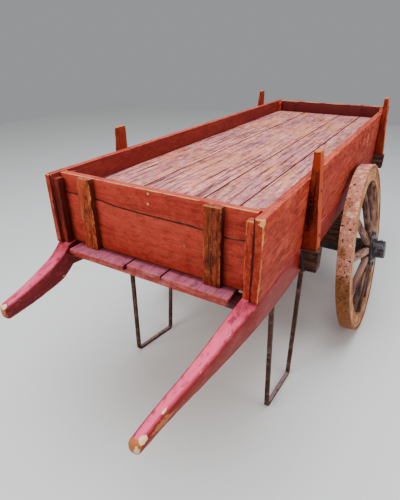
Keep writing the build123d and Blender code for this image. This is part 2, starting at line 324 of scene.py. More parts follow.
def makeWood(name, lookName, grain, seed, wornEdges, seams, faces, spots):
    look, wear = woodLooks[lookName], woodWear
    material, shader = startMaterial(name)
    place = objectPlace(material)
    axes, facing = axesOf(place), facingAxes(material)
    seen = readNoises(place, look, grain, seed)

    colour = blendColour(fade(seen["paint"], *wear["faded"]), look["paint"], look["faded"])
    colour = layMarks(colour, look, seen, fineMarks)
    # faces that look up take the top tone: partly sun-faded paint, partly painted light from above
    lookUp = times(fade(facing["Z"], *wear["upward"]), look["upward"])
    lookUp = times(lookUp, fade(seen["cloud"], *wear["upwardPatch"]))
    colour = blendColour(lookUp, colour, look["top"])
    colour = layMarks(colour, look, seen, coarseMarks)
    # a tone by the way a face looks: mostly painted shade on sides, insides and undersides and painted light
    # on crests; some are the wood's own tone
    for axis, sign, faceTone, strength, *limits in faces:
        shown = fade(times(facing[axis], sign), *(limits or wear["face"]))
        if limits:      # a crest's painted highlight is broken by the paint and left out where it is mottled
            dull = fade(seen["mottle"], *wear["crestGap"])
            dull = times(dull, look["mottle"] * wear["crestDull"])
            shown = times(shown, fade(seen["paint"], *wear["crestPatch"]))
            shown = calc("SUBTRACT", shown, dull, clamp=True)
        colour = layTone(colour, shown, strength, faceTone)

    chipped = fade(seen["chip"], *[limit - wear["chipShift"] * look["chip"] for limit in wear["chip"]])
    scratched = times(fade(seen["scratch"], *wear["scratch"]),
                      fade(seen["blotch"], *wear["scratchPatch"]))
    chipped = calc("MAXIMUM", chipped, times(scratched, look["scratch"]))
    for line, width, strength in wornEdges:
        near = nearLine(axes, line, width)
        worn = calc("ADD", times(near, strength), seen["edge"])
        chipped = calc("MAXIMUM", chipped, fade(worn, *wear["edge"]))
    shade = [value * share for value, share in zip(look["bare"], wear["bareShade"])]
    bareTone = blendColour(fade(seen["speck"], *wear["bare"]), look["bare"], shade)
    colour = layTone(colour, chipped, wear["bareStrength"], bareTone)
    for (x, y, z), size, strength, patchTone in spots:
        near = nearSpot(place, (x, alongCart(y), z), size)
        worn = calc("ADD", times(near, strength), seen["spot"])
        colour = blendColour(fade(worn, *wear["spot"]), colour, patchTone)

    line = fade(gapTo(seen["crack"], 0.5), wear["crackWide"], 0.0)
    split = times(line, fade(seen["cracked"], *wear["cracked"]))
    split = times(split, look["crack"])
    for axis, value, width, strength in seams:
        close = times(nearPlane(axes, axis, value, width), strength)
        split = calc("MAXIMUM", split, close)
    colour = blendColour(split, colour, look["dark"])

    shader.inputs["Specular IOR Level"].default_value = look["gloss"]
    rough = weigh((seen["fibre"], wear["fibreRough"]), (chipped, wear["chipRough"]))
    rough = calc("ADD", rough, look["rough"] - wear["smoother"], clamp=True)
    height = weigh(*zip((seen["fibre"], seen["streak"], split, chipped), wear["height"]))
    return finishShader(material, shader, colour, rough, height, wear["bump"])


# an end board counted inward from the cart's end, and what stands at it on both sides: across, inward, height
endPieces = {
    "board": (0.042, 0.068),
    "cleat": ((0.214, 0.272), (0.018, 0.042), (0.7963, rim)),
    "strip": ((0.230, 0.256), (0.068, 0.074), (0.985, rim - 0.008)),
    "battenOutside": ((0.349, 0.373), (0.009, 0.037), (bed, rim - 0.014)),
    "battenInside": ((0.349, 0.373), (0.073, 0.101), (cart["deckZ"] + 0.0003, rim - 0.008)),
}


# edges where the paint is gone: width, strength and the two planes that meet there

def wornEdge(width, strength, **planes):
    return [(axis.upper(), value) for axis, value in planes.items()], width, strength


def rimEdges(side):
    x = side * outer
    return [wornEdge(0.006, 0.55, x=x, z=rim), wornEdge(0.005, 0.42, x=side * inner, z=rim),
            wornEdge(0.006, 0.56, x=x, y=front), wornEdge(0.010, 0.66, y=front, z=rim),
            wornEdge(0.010, 0.6, x=x, y=rear)]


def endEdges(y):
    # y is the face of an end board that the photograph shows
    deep = endPieces["board"][1] - endPieces["board"][0]
    return [wornEdge(0.006, 0.76, y=alongCart(y), z=rim), wornEdge(0.005, 0.5, y=alongCart(y + deep), z=rim)]


def uprightEdges(piece, end):
    (near, far), (deep, _), (_, top) = endPieces[piece]
    y = fromEnd(end, deep)
    lines = [wornEdge(0.007, 0.62, x=x, y=y) for x in (-far, -near, near, far)]
    return lines + [wornEdge(0.010, 0.65, y=y, z=top)]


def postEdges(side, y):
    top = rim + cart["postRise"]
    lines = [wornEdge(0.014, 0.70, y=alongCart(y + turn * cart["postHalf"]), z=top) for turn in (-1, 1)]
    return lines + [wornEdge(0.014, 0.75, x=side * (outer + cart["postOut"][1]), z=top)]


def postFaces(side):
    # the outer face orange, partly faded paint and partly painted light; the one against the board red-brown
    return [("X", side, (0.57, 0.076, 0.021), 0.85), ("X", -side, (0.24, 0.030, 0.012), 0.8)]


# patches where the paint has gone or worn to another tone, and patches of painted shade and light: middle,
# half sizes, strength, tone
cream, tanWood = (0.90, 0.60, 0.30), (0.42, 0.13, 0.035)
# the first tone below is painted shade, laid in the gap at the front end of each side board
gapShade, orange = (0.045, 0.004, 0.002), (0.62, 0.130, 0.045)
spotsOf = {
    "sill_shaft_right": [
        ((0.322, -0.462, 0.690), (0.040, 0.030, 0.040), 1.1, tanWood),
        ((0.341, -0.385, 0.690), (0.008, 0.110, 0.030), 0.75, tanWood),
        ((0.334, -0.362, 0.708), (0.007, 0.020, 0.016), 1.0, cream),
        ((0.338, -0.388, 0.706), (0.007, 0.018, 0.014), 1.0, cream),
        ((0.332, -0.438, 0.694), (0.014, 0.018, 0.016), 1.15, cream),
        ((0.330, -0.462, 0.680), (0.012, 0.016, 0.022), 1.1, cream)],
    "sill_shaft_left": [
        ((-0.330, -0.305, 0.700), (0.034, 0.016, 0.034), 1.0, tanWood),
        ((-0.330, -0.298, 0.712), (0.022, 0.020, 0.012), 1.1, cream),
        ((-0.342, -0.262, 0.716), (0.006, 0.022, 0.010), 0.9, cream)],
    "side_board_left": [((-0.375, 0.0, 0.925), (0.010, 0.010, 0.200), 1.9, gapShade)],
    "corner_battens_front": [
        ((-0.364, 0.009, 0.940), (0.007, 0.010, 0.120), 1.1, (0.085, 0.007, 0.004)),
        # painted shade on the batten's right side
        ((-0.352, 0.012, 0.900), (0.005, 0.020, 0.160), 1.2, (0.050, 0.004, 0.003)),
        ((-0.371, 0.009, 0.960), (0.003, 0.008, 0.090), 0.9, (0.60, 0.16, 0.06))],
    "side_board_right": [
        ((0.402, 1.42, 0.990), (0.014, 0.030, 0.070), 0.80, orange),
        ((0.402, 1.55, 0.975), (0.014, 0.045, 0.095), 0.85, (0.64, 0.145, 0.052)),
        ((0.402, 1.68, 0.985), (0.014, 0.036, 0.075), 0.80, orange),
        ((0.375, 0.0, 0.925), (0.010, 0.010, 0.200), 1.9, gapShade),
        ((0.399, 0.002, 1.046), (0.02, 0.022, 0.020), 1.0, (0.80, 0.38, 0.12)),
        ((0.401, 0.006, 1.000), (0.01, 0.008, 0.050), 0.9, (0.74, 0.27, 0.07)),
        ((0.401, 0.006, 0.890), (0.01, 0.007, 0.110), 0.8, (0.66, 0.20, 0.05))],
    "post_front_right": [
        # painted shade on the post's front face, darkest low down, and painted light on it above the rim
        ((0.412, 0.393, 0.940), (0.040, 0.010, 0.180), 0.9, (0.045, 0.003, 0.001)),
        ((0.412, 0.393, 1.110), (0.040, 0.010, 0.080), 0.9, (0.30, 0.026, 0.008)),
        ((0.410, 0.393, 0.960), (0.020, 0.010, 0.110), 0.8, (0.014, 0.002, 0.001))],
}
woods = {}


def dressWood(node, look, grain, seed, wornEdges=(), seams=(), faces=()):
    # a seam is a dark line or band on a plane, used for joints, grime and painted shade: axis, place, width,
    # strength; a face has axis, way, tone and strength, and mostly carries painted shade or painted light
    spots = spotsOf.get(node, ())
    woods[node] = makeWood(node + "_wood", look, grain, seed, wornEdges, seams, faces, spots)
    dress(node, woods[node])


crest = ("Z", 1, (0.92, 0.095, 0.215), 0.85, 0.88, 1.0)   # a painted highlight along the rounded top of a shaft
# painted shade on the left shaft's inner side, and on the right shaft's inner and outer sides and underside;
# both carry the painted highlight on top
dressWood("sill_shaft_left", "shaftPaint", "y", 1, faces=[("X", 1, (0.105, 0.009, 0.013), 0.75), crest])
dressWood("sill_shaft_right", "shaftPaint", "y", 2, faces=[
    ("X", -1, (0.080, 0.006, 0.008), 0.7), ("X", 1, (0.20, 0.010, 0.004), 0.7),
    ("Z", -1, (0.06, 0.004, 0.002), 0.8), crest])
for node, grain, seed in (("bolster_front", "x", 3), ("axle_bolster", "x", 5), ("axle_bed", "x", 6),
                          ("deck_bearers", "x", 18), ("deck_ledgers", "y", 19)):
    dressWood(node, "darkWood", grain, seed)
dressWood("bolster_rear", "darkWood", "x", 4, faces=[("X", 1, (0.010, 0.004, 0.003), 0.8)])
# the two lines across are joints between the planks; the band along the front board's face is painted contact
# shade
dressWood("floor_planks", "ledgePaint", "y", 7, seams=[
    ("X", -0.066, 0.0055, 1.0), ("X", 0.077, 0.0055, 1.0), ("Y", alongCart(0.044), 0.022, 0.75)])
# the rails are darkened towards both ends, painted shade where they meet the sills
dressWood("end_rails", "ledgePaint", "x", 30, seams=[("X", x, 0.034, 0.95) for x in (-0.332, 0.332)])

# painted shade on the inner faces of the side boards
boardInsideShade = (0.120, 0.010, 0.010)
# the band along the bottoms of the side boards is partly grime and partly painted contact shadow
dressWood("side_board_left", "redPaint", "y", 8, rimEdges(-1), [("Z", bed, 0.014, 0.6)],
          [("X", 1, boardInsideShade, 0.8)])
dressWood("side_board_right", "redPaint", "y", 9, rimEdges(1), [("Z", bed, 0.014, 0.5)],
          [("X", -1, boardInsideShade, 0.8), ("Y", -1, (0.24, 0.016, 0.007), 0.45)])
posts = [(end, y, sideName, side) for end, y in zip(ends, cart["postY"]) for sideName, side in sides]
for seed, (end, y, sideName, side) in enumerate(posts, 10):
    dressWood("post_" + end + "_" + sideName, "postWood", "z", seed, postEdges(side, y), [], postFaces(side))
deckLines = [(-inner, 0.012, 0.8), (-0.164, 0.005, 1.0), (0.091, 0.005, 1.0), (0.229, 0.005, 1.0),
             (inner, 0.010, 0.8)]
for i in range(4):
    seams = [("X", *line) for line in deckLines[i:i + 2]]
    dressWood("deck_plank_%d" % (i + 1), "deckWood", "y", 14 + i, seams=seams)

cleatShade = [("X", way, (0.045, 0.006, 0.003), 0.85) for way in (1, -1)]
rearInside = [("Y", -1, (0.070, 0.004, 0.005), 0.95)]
rearSeam = [("Z", cart["seamZ"], 0.0035, 0.9)]
frontFace, rearFace = endPieces["board"][0], cart["length"] - endPieces["board"][1]
dressWood("corner_battens_front", "redPaint", "z", 20, uprightEdges("battenOutside", "front"),
          [("X", -0.361, 0.05, 0.55)], cleatShade)
dressWood("corner_battens_rear", "redPaint", "z", 21, uprightEdges("battenOutside", "rear"), [], cleatShade)
# the band along the bottom of the lower front board is partly grime and partly painted contact shadow
dressWood("front_board_lower", "frontPaint", "x", 22, seams=[("Z", bed, 0.006, 0.7)])
dressWood("front_board_upper", "frontPaint", "x", 23, endEdges(frontFace))
dressWood("rear_board_lower", "frontPaint", "x", 24, [], rearSeam, rearInside)
dressWood("rear_board_upper", "frontPaint", "x", 25, endEdges(rearFace), rearSeam, rearInside)
dressWood("front_board_cleats", "cleatWood", "z", 26, uprightEdges("cleat", "front"),
          [("X", 0.243, 0.055, 0.35)], cleatShade)
dressWood("rear_board_cleats", "cleatWood", "z", 27, uprightEdges("cleat", "rear"), [],
          cleatShade + rearInside)
print("wood done")


# boards with rounded, uneven edges in place of the sawn ones

boardShape = {
    "bevel": 0.0028, "bevelSteps": 2, "wave": 0.0005, "spacing": 0.07, "nick": 0.0030, "nickChance": 0.10}
dice = Random(7)


def pickOnly(*pieces):
    # selects these pieces alone, the first of them active
    bpy.ops.object.select_all(action="DESELECT")
    for piece in pieces:
        piece.select_set(True)
    bpy.context.view_layer.objects.active = pieces[0]


def nameBoth(piece, name):
    piece.name = name
    piece.data.name = name
    return piece


def startPiece(name, low, high):
    # a cube, sized and put in its place in edit mode
    bpy.ops.object.select_all(action="DESELECT")
    bpy.ops.mesh.primitive_cube_add(size=1.0, location=(0, 0, 0))
    piece = nameBoth(bpy.context.active_object, name)
    bpy.ops.object.mode_set(mode="EDIT")
    bpy.ops.mesh.select_all(action="SELECT")
    bpy.ops.transform.resize(value=[b - a for a, b in zip(low, high)])
    bpy.ops.transform.translate(value=[(a + b) / 2 for a, b in zip(low, high)])
    bpy.ops.object.mode_set(mode="OBJECT")
    return piece


def clearSelection(mesh, byEdge):
    bpy.context.tool_settings.mesh_select_mode = (False, byEdge, not byEdge)
    for part in (*mesh.vertices, *mesh.edges, *mesh.polygons):
        part.select = False


def selectEdges(mesh, wanted):
    # wanted(a, b) takes the edge's two ends
    clearSelection(mesh, True)
    for edge in mesh.edges:
        a, b = [mesh.vertices[i] for i in edge.vertices]
        if wanted(a.co, b.co):
            edge.select = a.select = b.select = True


def selectFaces(mesh, wanted):
    # wanted(face) takes a face of the mesh
    clearSelection(mesh, False)
    for face in mesh.polygons:
        face.select = wanted(face)


def cutAcross(piece, axis, spacing):
    # rings of new points along the piece
    places = [vertex.co[axis] for vertex in piece.data.vertices]
    length = max(places) - min(places)
    selectEdges(piece.data, lambda a, b: abs(a[axis] - b[axis]) > 0.9 * length)
    bpy.ops.object.mode_set(mode="EDIT")
    bpy.ops.mesh.subdivide(number_cuts=max(1, int(length / spacing)))
    bpy.ops.object.mode_set(mode="OBJECT")


def wearStep(shape):
    # a slight wave, and now and then a small nick
    step = dice.random() * shape["wave"]
    if dice.random() < shape["nickChance"]:
        step += dice.random() * shape["nick"]
    return step


def weather(piece, axis, shape):
    # moves the points inward only, so the piece keeps to its box
    corners = [[f(v.co[i] for v in piece.data.vertices) for i in range(3)] for f in (min, max)]
    middle = [(a + b) / 2 for a, b in zip(*corners)]
    for vertex in piece.data.vertices:
        for i in range(3):
            if i != axis:
                inward = 1 if vertex.co[i] < middle[i] else -1
                vertex.co[i] += inward * wearStep(shape)


def roundEdges(piece, width, steps, limit):
    rounding = piece.modifiers.new("edges", "BEVEL")
    rounding.width = width
    rounding.segments = steps
    rounding.limit_method = limit
    rounding.angle_limit = radians(40)
    rounding.use_clamp_overlap = limit == "ANGLE"
    bpy.ops.object.modifier_apply(modifier=rounding.name)


def finishPiece(piece, material, bevel=0, steps=0, angle=35):
    pickOnly(piece)
    if bevel:
        roundEdges(piece, bevel, steps, "ANGLE")
    bpy.ops.object.shade_smooth_by_angle(angle=radians(angle))
    piece.data.materials.append(material)
    return piece


def joinPieces(pieces, name):
    pickOnly(*pieces)
    if len(pieces) > 1:
        bpy.ops.object.join()
    return nameBoth(bpy.context.active_object, name)


def standIn(piece, node, body):
    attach(piece, body)
    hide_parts(node)


# the joint between the two front boards wanders: place across, height
jointRows = [(-0.37, 0.985), (-0.218, 0.983), (-0.111, 0.972), (0.011, 0.969), (0.157, 0.968), (0.205, 0.965),
             (0.289, 0.958), (0.37, 0.966)]
# how near the seam a point of the straight edge is, half the gap, and which faces are in the joint
jointShape = {"straight": 0.003, "halfGap": 0.0007, "reach": 0.0026, "facing": 0.2}


def jointHeight(x):
    for (x0, z0), (x1, z1) in zip(jointRows, jointRows[1:]):
        if x <= x1:
            t = (x - x0) / (x1 - x0)
            return z0 + (z1 - z0) * t * t * (3 - 2 * t)
    return jointRows[-1][1]


def bendToJoint(piece, way):
    for vertex in piece.data.vertices:
        if abs(vertex.co.z - cart["seamZ"]) < jointShape["straight"]:
            vertex.co.z = jointHeight(vertex.co.x) + way * jointShape["halfGap"]


def darkenJoint(piece):
    piece.data.materials.append(woods["deck_bearers"])
    for face in piece.data.polygons:
        near = abs(face.center.z - jointHeight(face.center.x)) < jointShape["reach"]
        if near and abs(face.normal.z) > jointShape["facing"]:
            face.material_index = 1


def makeBoards(node, body, axis, boxes, **changes):
    shape = {**boardShape, **changes}
    pieces = []
    for low, high in boxes:
        piece = startPiece(node + "_worn", low, high)
        cutAcross(piece, axis, shape["spacing"])
        if "jointWay" in shape:
            bendToJoint(piece, shape["jointWay"])
        weather(piece, axis, shape)
        pieces.append(finishPiece(piece, woods[node], shape["bevel"], shape["bevelSteps"]))
        if "jointWay" in shape:
            darkenJoint(piece)
    standIn(joinPieces(pieces, node + "_worn"), node, body)


def endBoxes(end, names):
    # boxes of what stands on the right, then of what stands on the left
    boxes = []
    for across, inward, (lowZ, highZ) in [endPieces[name] for name in names]:
        lowY, highY = sorted(fromEnd(end, y) for y in inward)
        boxes.append(((across[0], lowY, lowZ), (across[1], highY, highZ)))
    return boxes + [((-high[0], low[1], low[2]), (-low[0], high[1], high[2])) for low, high in boxes]


for sideName, side in sides:
    makeBoards("side_board_" + sideName, "cart", 1, [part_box("side_board_" + sideName)])
for i in range(4):
    node = "deck_plank_%d" % (i + 1)
    makeBoards(node, "cart", 1, [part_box(node)], bevel=0.0022, nickChance=0.05)
for level, way in (("lower", -1), ("upper", 1)):
    node = "front_board_" + level
    makeBoards(node, "front_board", 0, [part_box(node)], bevel=0.0018, nickChance=0.03, spacing=0.03,
               jointWay=way)
for level in ("lower", "upper"):
    node = "rear_board_" + level
    makeBoards(node, "rear_board", 0, [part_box(node)], bevel=0.0018, nickChance=0.06)
chipped = {"bevel": 0.0030, "nickChance": 0.16, "nick": 0.004, "spacing": 0.022}
for end in ends:
    boxes = endBoxes(end, ("cleat", "strip"))
    makeBoards(end + "_board_cleats", end + "_board", 2, boxes, **chipped)
    boxes = endBoxes(end, ("battenOutside", "battenInside"))
    makeBoards("corner_battens_" + end, "cart", 2, boxes, **chipped)

# planks under the box, their front ends rounded by wear: left, right, overhang
plankRows = [(-0.317, -0.067, 0.021), (-0.065, 0.076, 0.009), (0.078, 0.316, 0.013)]
plankBottom = 0.778
plankBoxes = [((left, alongCart(-over), plankBottom), (right, rear, bed)) for left, right, over in plankRows]
makeBoards("floor_planks", "cart", 1, plankBoxes, bevel=0.0042, bevelSteps=3, nickChance=0.04)

postShape = {**boardShape, "bevel": 0.0035, "nickChance": 0.14, "nick": 0.004, "spacing": 0.03}


def makePost(node, side):
    low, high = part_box(node)
    foot, top = cart["postOut"]
    middleY = (low[1] + high[1]) / 2
    piece = startPiece(node + "_worn", low, high)
    for vertex in piece.data.vertices:
        if vertex.co.z > rim and abs(vertex.co.x - side * (outer + foot)) < 0.002:
            vertex.co.x = side * (outer + top)
    cutAcross(piece, 2, postShape["spacing"])
    for vertex in piece.data.vertices:
        if abs(abs(vertex.co.x) - outer) >= 0.001:      # the face against the board stays flat
            vertex.co.x -= side * wearStep(postShape)
        vertex.co.y += (1 if vertex.co.y < middleY else -1) * wearStep(postShape)
    finishPiece(piece, woods[node], postShape["bevel"], postShape["bevelSteps"])
    standIn(piece, node, "cart")


for end, y, sideName, side in posts:
    makePost("post_" + end + "_" + sideName, side)
print("boards done")


# sills that run on as the shafts

shaftShape = {
    "round": 0.0165, "steps": 5, "wave": 0.0006, "between": 4,
    "reach": {"right": 0.460, "left": 0.305},       # from the box to the shaft's end
    "lastGap": 0.014,           # the least from the end to the row before it
    "wavyFrom": 0.02,           # in front of the box
    "firstCurved": 5,           # the row where the curve begins
    # place along, outer face inward of the sill's, width, drop of the top, depth, how round the edges are
    "rows": [
        (2.285, 0, 0.057, 0, 0.106, 0.15), (1.6, 0, 0.057, 0, 0.106, 0.15),
        (0.9, 0, 0.057, 0, 0.106, 0.15), (0.275, 0, 0.057, 0, 0.106, 0.18),
        (0.110, 0, 0.057, 0, 0.098, 0.22), (0.012, 0, 0.057, 0, 0.088, 0.28),
        (-0.050, 0.017, 0.055, 0.029, 0.084, 0.45), (-0.125, 0.029, 0.051, 0.050, 0.073, 0.65),
        (-0.205, 0.041, 0.046, 0.067, 0.062, 0.80), (-0.285, 0.051, 0.042, 0.079, 0.051, 0.85),
        (-0.365, 0.061, 0.038, 0.089, 0.043, 0.85), (-0.460, 0.069, 0.033, 0.099, 0.037, 0.75)],
}


def curvedRows(rows, between):
    # smooth rows between the given ones, forward of the box
    start = shaftShape["firstCurved"]
    result = list(rows[:start + 1])
    for k in range(start, len(rows) - 1):
        around = rows[max(k - 1, start)], rows[k], rows[k + 1], rows[min(k + 2, len(rows) - 1)]
        for step in range(1, between + 1):
            t = step / between
            result.append(tuple(
                0.5 * (2 * b + (c - a) * t + (2 * a - 5 * b + 4 * c - d) * t ** 2
                       + (3 * b - a - 3 * c + d) * t ** 3) for a, b, c, d in zip(*around)))
    return result


def weighEdges(mesh, rows, lastY):
    # how round each long edge and the edges of both ends are
    hair = 1e-5
    weights = mesh.attributes.new("bevel_weight_edge", "FLOAT", "EDGE")
    for edge in mesh.edges:
        a, b = [mesh.vertices[i].co for i in edge.vertices]
        if abs(a.y - b.y) > hair or abs(a.y - lastY) < hair or abs(a.y - rear) < hair:
            middle = (a.y + b.y) / 2
            nearest = min(rows, key=lambda row: abs(alongCart(row[0]) - middle))
            weights.data[edge.index].value = nearest[5]


def makeShaft(node, side, reach):
    rows = curvedRows(shaftShape["rows"], shaftShape["between"])
    last = min(rows, key=lambda row: abs(row[0] + reach))
    rows = [row for row in rows if row[0] > shaftShape["lastGap"] - reach] + [(-reach,) + last[1:]]
    cuts = []                   # place along, across, height, width and depth
    for y, inset, width, drop, depth, _ in rows:
        x = side * (cart["sillOuter"] - inset - width / 2)
        cuts.append((alongCart(y), x, bed - drop - depth / 2, width, depth))
    (y0, x, z, width, depth), y1 = cuts[0], cuts[1][0]
    piece = startPiece(node + "_worn", (x - width / 2, y1, z - depth / 2), (x + width / 2, y0, z + depth / 2))
    selectFaces(piece.data, lambda face: face.normal.y < -0.9)
    bpy.ops.object.mode_set(mode="EDIT")
    for (y0, x0, z0, w0, d0), (y1, x1, z1, w1, d1) in zip(cuts[1:], cuts[2:]):
        bpy.ops.mesh.extrude_region_move(TRANSFORM_OT_translate={"value": (x1 - x0, y1 - y0, z1 - z0)})
        bpy.ops.transform.resize(value=(w1 / w0, 1, d1 / d0), center_override=(x1, y1, z1))
    bpy.ops.object.mode_set(mode="OBJECT")
    weighEdges(piece.data, rows, cuts[-1][0])
    for vertex in piece.data.vertices:
        if vertex.co.y < front - shaftShape["wavyFrom"]:
            vertex.co.x += (dice.random() - 0.5) * 2 * shaftShape["wave"]
            vertex.co.z += (dice.random() - 0.5) * 2 * shaftShape["wave"]
    pickOnly(piece)
    roundEdges(piece, shaftShape["round"], shaftShape["steps"], "WEIGHT")
    finishPiece(piece, woods[node], angle=50)
    standIn(piece, node, "cart")


for sideName, side in reversed(sides):
    makeShaft("sill_shaft_" + sideName, side, shaftShape["reach"][sideName])
print("shafts done")


# wheels, and the rust on all iron

# the dark line where the tyre meets the felloes, counted from the arm
tyreSeam = {"reach": 0.436, "width": 0.0035, "broken": (0.40, 0.52), "tone": (0.02, 0.008, 0.006)}

# scale, detail, roughness and distortion of each noise
wheelNoises = {"fibre": (9.0, 7.0, 0.6, 0.1), "patch": (9.0, 5.0, 0.6), "speck": (70.0, 4.0, 0.6)}
rustNoises = {
    "patch": (7.0, 6.0, 0.6), "flake": (34.0, 8.0, 0.65), "pit": (95.0, 4.0, 0.6), "blot": (84.0, 3.0, 0.5)}
blotShift = (3.1, 1.7, 5.3)

# where each mask starts and is full and how strongly it shows, then what the noises do to gloss and height
wheelWear = {
    "pale": (0.40, 0.60), "dark": (0.45, 0.62), "darkStrength": 0.80, "grime": (0.55, 0.70),
    "grimeStrength": 0.5, "level": (0.08, 0.03), "levelStrength": 0.45, "under": (-0.06, -0.20),
    "belowHubStrength": 0.6, "gloss": 0.2, "rough": 0.66, "fibreRough": 0.22,
    "height": (0.7, 0.2), "bump": 0.0016,
}
rustWear = {
    "upper": (0.42, 0.58), "bright": (0.50, 0.62), "least": 0.12, "pit": (0.54, 0.64), "pitStrength": 0.55,
    "upward": (0.6, 0.95), "upStrength": 0.7, "blot": (0.61, 0.64), "flakeRough": 0.25,
    "height": (0.7, 0.25, -0.6), "bump": 0.0014,
}

# spread: how fast the grain changes along the arm, away from it and round it
rimLook = dict(
    base=(0.48, 0.165, 0.055), light=(0.74, 0.36, 0.16), dark=(0.12, 0.033, 0.014),
    grime=(0.028, 0.011, 0.007), spread=(12.0, 12.0, 0.5))
spokeLook = dict(
    base=(0.105, 0.036, 0.024), light=(0.36, 0.180, 0.135), dark=(0.022, 0.008, 0.006),
    grime=(0.016, 0.008, 0.007), levelTone=(0.62, 0.33, 0.24), spread=(12.0, 1.0, 3.0))


def wheelPlace(material, side):
    # the place on the upright wheel, then along the arm, away from it and the angle round it
    moved = stretched(objectPlace(material), (1, 1, 1),
                      (-side * cart["wheelX"], -cart["wheelY"], -cart["wheelZ"]))
    turned = addNode("ShaderNodeVectorRotate", {"Vector": moved, "Angle": side * cart["lean"]},
                     rotation_type="Y_AXIS").outputs["Vector"]
    axes = axesOf(turned)
    squares = [calc("POWER", axes[axis], 2.0) for axis in "YZ"]
    reach = calc("SQRT", calc("ADD", *squares))
    return turned, axes["X"], reach, calc("ARCTAN2", axes["Z"], axes["Y"])


def seamAtTyre(reach, speck):
    near = fade(gapTo(reach, tyreSeam["reach"]), tyreSeam["width"], 0.0)
    return times(near, fade(speck, *tyreSeam["broken"]))


def makeWheelWood(name, side, look):
    wear = wheelWear
    material, shader = startMaterial(name)
    turned, *places = wheelPlace(material, side)
    spread = {axis: times(value, scale) for axis, value, scale in zip("XYZ", places, look["spread"])}
    spread = addNode("ShaderNodeCombineXYZ", spread).outputs["Vector"]
    fibre = noise(spread, *wheelNoises["fibre"])
    patch = noise(turned, *wheelNoises["patch"])
    speck = noise(turned, *wheelNoises["speck"])
    colour = blendColour(fade(patch, *wear["pale"]), look["base"], look["light"])
    colour = layTone(colour, fade(fibre, *wear["dark"]), wear["darkStrength"], look["dark"])
    colour = layTone(colour, fade(speck, *wear["grime"]), wear["grimeStrength"], look["grime"])
    if "levelTone" in look:           # spokes are paler where they lie level and darker below the hub
        height = axesOf(turned)["Z"]
        level = fade(calc("ABSOLUTE", height), *wear["level"])
        colour = layTone(colour, level, wear["levelStrength"], look["levelTone"])
        colour = layTone(colour, fade(height, *wear["under"]), wear["belowHubStrength"], look["dark"])
    else:
        colour = blendColour(seamAtTyre(places[1], speck), colour, look["grime"])
    shader.inputs["Specular IOR Level"].default_value = wear["gloss"]
    rough = calc("ADD", wear["rough"], times(fibre, wear["fibreRough"]), clamp=True)
    height = weigh(*zip((fibre, speck), wear["height"]))
    return finishShader(material, shader, colour, rough, height, wear["bump"])


def makeRust(name, look, side=0):
    # a side of 0 is iron that is on no wheel; paler says how fast the tyre is painted lighter and pinker
    # upward, a painted sky reflection
    wear = rustWear
    material, shader = startMaterial(name)
    place = objectPlace(material)
    if side:
        place, _, reach, _ = wheelPlace(material, side)
    blotPlace = stretched(place, (1, 1, 1), blotShift)
    patch, flake, pit, blot = [noise(blotPlace if key == "blot" else place, *rustNoises[key])
                               for key in ("patch", "flake", "pit", "blot")]
    # the tyre is painted lighter and pinker towards its top, a painted sky reflection
    if "reflectionRise" in look:
        rise = calc("SUBTRACT", axesOf(place)["Z"], look["reflectionFrom"])
        patch = calc("ADD", patch, times(rise, look["reflectionRise"]))
    upper = fade(patch, *wear["upper"])
    colour = blendColour(upper, look["base"], look["second"])
    bright = fade(flake, *wear["bright"])
    if "reflectionRise" in look:
        bright = times(bright, calc("ADD", wear["least"], times(upper, 1 - wear["least"])))
    colour = blendColour(bright, colour, look["light"])
    colour = layTone(colour, fade(pit, *wear["pit"]), wear["pitStrength"], look["dark"])
    if "upTone" in look:
        lookUp = fade(facingAxes(material)["Z"], *wear["upward"])
        colour = layTone(colour, lookUp, wear["upStrength"], look["upTone"])
    spotted = fade(blot, *wear["blot"])
    colour = blendColour(spotted, colour, look["dark"])
    if "reflectionRise" in look:
        colour = blendColour(seamAtTyre(reach, flake), colour, tyreSeam["tone"])
    rough = calc("ADD", look["rough"], times(flake, wear["flakeRough"]), clamp=True)
    height = weigh(*zip((flake, pit, spotted), wear["height"]))
    shader.inputs["Metallic"].default_value = look["metal"]
    shader.inputs["Specular IOR Level"].default_value = look["gloss"]
    return finishShader(material, shader, colour, rough, height, wear["bump"])


tyreLook = dict(
    base=(0.245, 0.075, 0.018), second=(0.60, 0.22, 0.135), light=(0.92, 0.48, 0.35),
    dark=(0.040, 0.012, 0.008), rough=0.60, metal=0.0, gloss=0.2, reflectionRise=0.80, reflectionFrom=0.15)
hubLook = dict(
    base=(0.014, 0.009, 0.012), second=(0.028, 0.014, 0.015), light=(0.120, 0.100, 0.140),
    dark=(0.006, 0.004, 0.005), rough=0.34, metal=0.2, gloss=0.5)
legLook = dict(
    base=(0.044, 0.016, 0.010), second=(0.076, 0.030, 0.020), light=(0.17, 0.082, 0.066),
    dark=(0.014, 0.006, 0.005), upTone=(0.40, 0.26, 0.26), rough=0.55, metal=0.0, gloss=0.15)
axleLook = dict(
    base=(0.020, 0.015, 0.015), second=(0.040, 0.024, 0.019), light=(0.075, 0.050, 0.042),
    dark=(0.008, 0.006, 0.006), rough=0.50, metal=0.1, gloss=0.3)
headLook = dict(
    base=(0.070, 0.026, 0.014), second=(0.13, 0.045, 0.020), light=(0.30, 0.14, 0.08),
    dark=(0.02, 0.008, 0.005), rough=0.5, metal=0.0, gloss=0.3)
brightLook = dict(
    base=(0.62, 0.30, 0.12), second=(0.80, 0.50, 0.26), light=(0.95, 0.75, 0.52), dark=(0.30, 0.10, 0.04),
    rough=0.5, metal=0.0, gloss=0.3)

